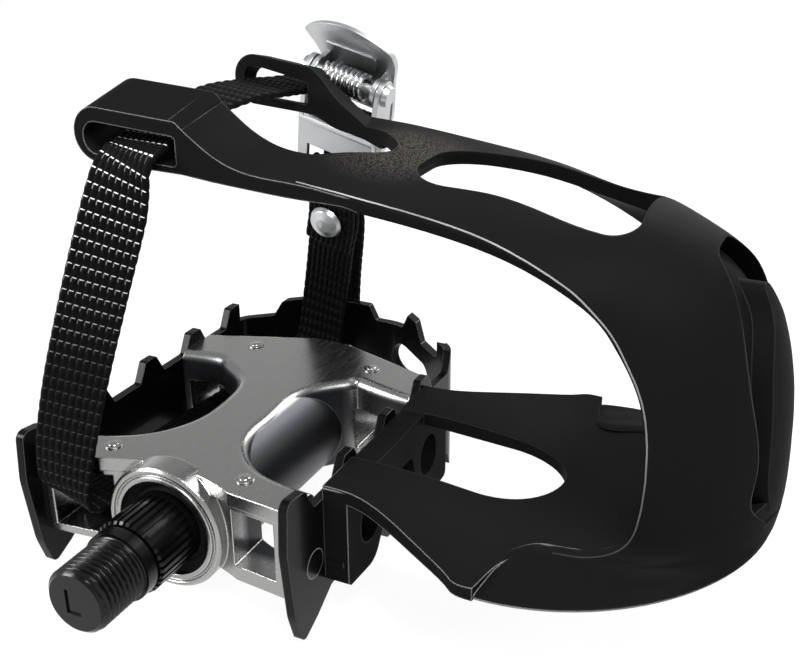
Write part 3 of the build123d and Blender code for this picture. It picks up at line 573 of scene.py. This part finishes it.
def wovenStrap():
    look = strapLook
    line = easedRoute(strapRoute(), look["step"])
    rings, weaveCells, run = [], [], 0.0
    for i, (place, width) in enumerate(line):
        before, after = line[max(i - 1, 0)][0], line[min(i + 1, len(line) - 1)][0]
        travel = (after - before).normalized()
        width = (width - travel * width.dot(travel)).normalized()
        normal = width.cross(travel)
        run += (place - before).length
        row = run / look["row"]
        swell = abs(math.sin(math.pi * row)) ** look["rowRound"]
        half = look["width"] / 2 - look["scallop"] * (1 - swell)
        ring, ringCells = [], []
        for face in (1, -1):
            for k in range(look["across"] + 1)[::face]:
                column = k / look["across"] * look["columns"]
                crown = abs(math.sin(math.pi * column)) ** look["columnRound"] * swell
                lift = look["thickness"] / 2 - look["relief"] * (1 - crown)
                lift *= look["edgeLift"] if k in (0, look["across"]) else 1
                ring.append(place + width * half * (2 * k / look["across"] - 1) + normal * lift * face)
                ringCells.append((column, row))
        rings.append(ring)
        weaveCells.append(ringCells)
    strap = loftRings("wovenStrap", rings, weaveCells)
    for polygon in strap.data.polygons:
        polygon.use_smooth = True
    finishPiece(strap, "strap_webbing", "strap")
    print("strap:", round(run), "mm long,", len(strap.data.polygons), "faces")


wovenStrap()


# wound lever spring on its pin

springLook = {"coils": 8, "wire": 0.72, "radius": 2.6, "length": 12.0, "perTurn": 40, "section": 10,
              "smooth": 38}  # wire is half its thickness


def woundSpring():
    look = springLook
    total = look["coils"] * look["perTurn"]
    rings = []
    for k in range(total + 1):
        angle = 2 * math.pi * k / look["perTurn"]
        along = look["wire"] - look["length"] / 2 + (look["length"] - 2 * look["wire"]) * k / total
        outward = buckleUp * math.cos(angle) + buckleInboard * math.sin(angle)
        centre = nearBuckle(0, 0, along) + outward * look["radius"]
        rings.append([centre + (outward * math.cos(turn) + buckleAcross * math.sin(turn)) * look["wire"]
                      for turn in turnsOf(look["section"])])
    spring = loftRings("woundSpring", rings)
    smoothBelow(spring, look["smooth"])
    finishPiece(spring, "spring_steel", "lever_spring")
    print("spring:", len(spring.data.polygons), "faces")


woundSpring()


# fine bead along the near edge of the toe clip's opening, coloured as a painted highlight line

beadLook = {"radius": 0.16, "section": 8, "step": 1.0, "inset": 0.5, "rise": 0.4, "smooth": 38,
            "upright": 48, "level": 72,  # heights between which the skin turns from upright to level
            "edge": [(30.0, 24.0, 75.2), (42.0, 24.0, 73.8), (53.0, 24.0, 72.3), (67.4, 24.0, 69.1),
                     (80.6, 24.0, 63.0), (87.4, 24.0, 57.0), (91.2, 24.0, 51.0), (93.9, 24.0, 45.0),
                     (95.2, 24.0, 38.0), (95.5, 24.0, 31.0), (95.2, 24.2, 25.2), (94.5, 24.3, 20.5),
                     (92.8, 24.0, 17.0), (89.6, 23.0, 15.0), (85.5, 22.0, 14.2), (80.7, 22.2, 13.5)]}
alongAxle = Vector((0, 1, 0))


def beadPath():
    # the near edge of the skin, moved in from its corner and laid on the clip's surface
    look = beadLook
    clip = frame["nodes"]["toe_clip"]
    bpy.context.view_layer.update()
    inClip = clip.matrix_world.inverted()
    stations = [(Vector(corner), alongAxle) for corner in look["edge"]]
    path = []
    for station in easedRoute(stations, look["step"]):
        place = station[0]
        level = (place.z - look["upright"]) / (look["level"] - look["upright"])
        level = min(1.0, max(0.0, level))
        aim = place + Vector((1 - level, level, look["rise"])).normalized() * look["inset"]
        spot = clip.closest_point_on_mesh(inClip @ (aim * mm))[1]
        path.append(clip.matrix_world @ spot / mm)
    return path


def paintedHighlightBead():
    look = beadLook
    path = beadPath()
    rings = []
    for i, place in enumerate(path):
        travel = (path[min(i + 1, len(path) - 1)] - path[max(i - 1, 0)]).normalized()
        outward = travel.cross(alongAxle).normalized()
        across = outward.cross(travel)
        rings.append([place + (outward * math.cos(turn) + across * math.sin(turn)) * look["radius"]
                      for turn in turnsOf(look["section"])])
    bead = loftRings("paintedHighlightBead", rings)
    smoothBelow(bead, look["smooth"])
    # the bead's material paints a highlight line
    finishPiece(bead, "clip_plastic", finish=paintedHighlightNylon())
    print("bead:", len(bead.data.polygons), "faces")


paintedHighlightBead()


# camera at the photograph's viewpoint

viewpoint = {"place": (129.206, -139.849, 130.794), "azimuth": 25.70, "elevation": 24.058, "roll": -0.324,
             "lens": 50.36, "sensor": 36, "clipStart": 10}  # the last in mm from the lens


def placeCamera():
    look = viewpoint
    bpy.ops.object.select_all(action="DESELECT")
    bpy.ops.object.camera_add(location=Vector(look["place"]) * mm)
    camera = bpy.context.object
    azimuth, elevation = math.radians(look["azimuth"]), math.radians(look["elevation"])
    back = Vector((math.sin(azimuth) * math.cos(elevation), -math.cos(azimuth) * math.cos(elevation),
                   math.sin(elevation)))
    turn = (-back).to_track_quat("-Z", "Y") @ Quaternion((0, 0, 1), math.radians(look["roll"]))
    camera.rotation_mode = "QUATERNION"
    camera.rotation_quaternion = turn
    camera.data.lens = look["lens"]
    camera.data.sensor_width = look["sensor"]
    camera.data.clip_start = look["clipStart"] * mm
    bpy.context.scene.camera = camera


placeCamera()


# floor, backdrop and lamps

studio = {"floorDrop": 1.0, "floorSize": 6, "floorWhite": "#FFFFFF", "ambient": 0.38, "shadowShare": 0.12,
          "ceiling": 0.5, "wallTop": 0.1, "ceilingStart": 0.55,  # mirrored room, which darkens upward
          "paperGlow": 1.07}  # makes up for what the shaded share lacks, so that open floor is just white
lamps = [
    {"name": "keyBox", "place": (220, -120, 460), "aim": (50, 45, 30), "size": 200, "power": 4.2},
    {"name": "sideBox", "place": (-330, -220, 240), "aim": (10, 40, 20), "size": 180, "power": 2.2},
    {"name": "rimBox", "place": (120, 430, 300), "aim": (40, 50, 40), "size": 220, "power": 1.5},
]


def whitePaper():
    # seamless white paper: white to the camera and in reflections, darker only in the shadow
    material = bpy.data.materials.new("whitePaper")
    material.use_nodes = True
    tree = material.node_tree
    tree.nodes.clear()
    ray = addNode(tree, "ShaderNodeLightPath").outputs
    white = linearColour(studio["floorWhite"])
    paper = addNode(tree, "ShaderNodeBsdfDiffuse", {"Color": white}).outputs["BSDF"]
    glow = addNode(tree, "ShaderNodeEmission", {"Color": white, "Strength": studio["paperGlow"]})
    direct = maths(tree, "MAXIMUM", ray["Is Camera Ray"], ray["Is Transmission Ray"])
    seen = maths(tree, "MAXIMUM", direct, ray["Is Glossy Ray"])
    share = maths(tree, "MULTIPLY", seen, 1 - studio["shadowShare"])
    both = addNode(tree, "ShaderNodeMixShader", {0: share, 1: paper, 2: glow.outputs["Emission"]})
    addNode(tree, "ShaderNodeOutputMaterial", {"Surface": both.outputs["Shader"]})
    return material


def layFloor():
    bpy.ops.object.select_all(action="DESELECT")
    low = cadBox[0].z - studio["floorDrop"] * mm
    bpy.ops.mesh.primitive_plane_add(size=studio["floorSize"], location=(0, 0, low))
    floor = bpy.context.object
    floor.name = "floor"
    floor.data.materials.append(whitePaper())


def hangLamps():
    for lamp in lamps:
        place, aim = Vector(lamp["place"]) * mm, Vector(lamp["aim"]) * mm
        bpy.ops.object.light_add(type="AREA", location=place)
        light = bpy.context.object
        light.name = lamp["name"]
        light.rotation_mode = "QUATERNION"
        light.rotation_quaternion = (aim - place).to_track_quat("-Z", "Y")
        light.data.size = lamp["size"] * mm
        light.data.energy = lamp["power"]


def whiteRoom():
    # white to the camera, dimmer as light on the part, and with a darker ceiling in reflections
    world = bpy.data.worlds.new("studioWhite")
    bpy.context.scene.world = world
    world.use_nodes = True
    tree = world.node_tree
    tree.nodes.clear()
    ray = addNode(tree, "ShaderNodeLightPath").outputs
    height = split(tree, addNode(tree, "ShaderNodeTexCoord").outputs["Generated"])["Z"]
    wall = mapped(tree, height, studio["wallTop"], studio["ceilingStart"], toLow=1.0,
                  toHigh=studio["ceiling"], interpolation_type="SMOOTHSTEP")
    mirrored = blendValue(tree, ray["Is Glossy Ray"], studio["ambient"], wall)
    seen = maths(tree, "MAXIMUM", ray["Is Camera Ray"], ray["Is Transmission Ray"])
    level = blendValue(tree, seen, mirrored, 1.0)
    white = addNode(tree, "ShaderNodeBackground", {"Color": (1, 1, 1, 1), "Strength": level})
    addNode(tree, "ShaderNodeOutputWorld", {"Surface": white.outputs["Background"]})


layFloor()
hangLamps()
whiteRoom()
bpy.context.scene.view_settings.view_transform = "Standard"
print("studio set")
